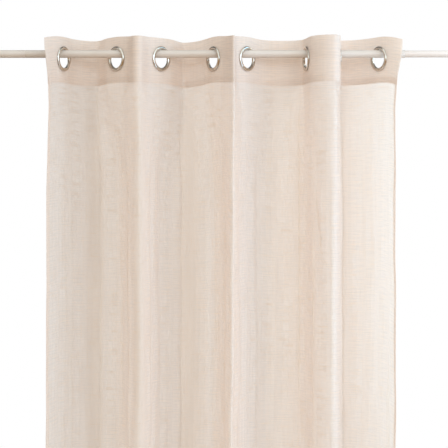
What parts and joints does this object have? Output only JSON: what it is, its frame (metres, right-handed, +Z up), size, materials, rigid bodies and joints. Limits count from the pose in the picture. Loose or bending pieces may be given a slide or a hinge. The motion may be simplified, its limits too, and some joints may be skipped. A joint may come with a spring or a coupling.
{
  "type": "sheer voile curtain on a rod",
  "caption": "Hung sheer curtain panel with a doubled eyelet heading and uneven vertical folds, threaded on a plain two-stage telescopic rod.",
  "frame": {"origin": "on the rod's axis, above the middle of the panel", "axes": "+X along the rod to the right as seen from the room, +Y towards the wall, +Z up"},
  "size_m": [1.2, 0.1589, 2.4104],
  "materials": {
    "voile": "sheer linen-look voile, plain weave with slubs",
    "eyelet_nickel": "bright nickel plate",
    "rod_greige_paint": "satin enamel",
    "rod_white_paint": "satin enamel"
  },
  "bodies": {
    "root": {"voile_panel": "voile", "eyelet_1": "eyelet_nickel", "eyelet_2": "eyelet_nickel", "eyelet_3": "eyelet_nickel", "eyelet_4": "eyelet_nickel", "eyelet_5": "eyelet_nickel", "eyelet_6": "eyelet_nickel", "eyelet_7": "eyelet_nickel", "eyelet_8": "eyelet_nickel", "rod_wide_tube": "rod_greige_paint", "rod_narrow_tube": "rod_white_paint"}
  },
  "joints": []
}
